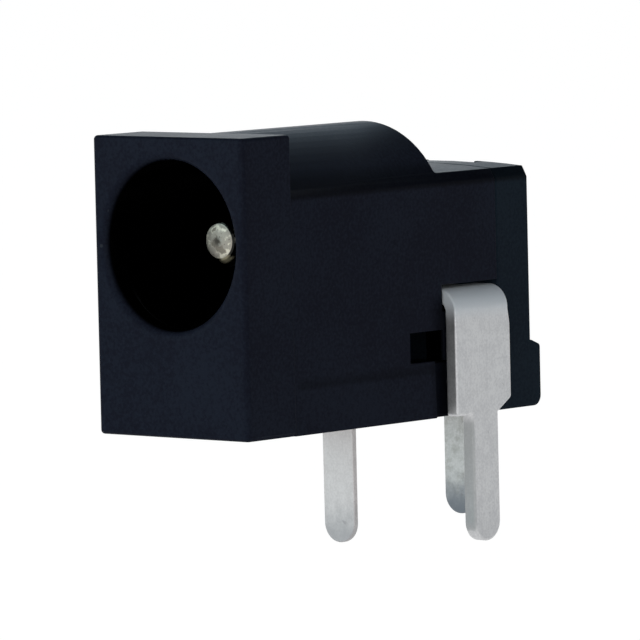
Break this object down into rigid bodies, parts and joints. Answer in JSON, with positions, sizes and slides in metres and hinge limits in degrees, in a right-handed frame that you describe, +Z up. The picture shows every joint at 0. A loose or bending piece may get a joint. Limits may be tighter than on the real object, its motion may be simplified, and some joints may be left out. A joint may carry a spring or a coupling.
{
  "type": "dc barrel jack",
  "caption": "Through-hole dc barrel jack: moulded housing with a round plug socket and centre pin, a sprung sleeve contact, a switch contact and flat solder leads.",
  "frame": {"origin": "on the board plane (the body's underside), under the bore's axis, in the middle of the body's length without its foot", "axes": "+Z up from the board, -Y out of the plug socket, +X towards the side that the switch contact stands on"},
  "size_m": [0.0079, 0.0169, 0.0159],
  "materials": {
    "housing_plastic": "near-black moulded thermoplastic, satin",
    "cover_plastic": "near-black moulded thermoplastic, satin",
    "pin_metal": "turned brass, nickel plated",
    "contact_metal": "stamped brass, satin tin plating",
    "leaf_metal": "stamped spring bronze, satin tin plating"
  },
  "bodies": {
    "root": {"housing": "housing_plastic", "rear_cover": "cover_plastic", "centre_pin": "pin_metal", "centre_contact": "contact_metal", "sleeve_contact": "leaf_metal", "switch_contact": "contact_metal"}
  },
  "joints": []
}
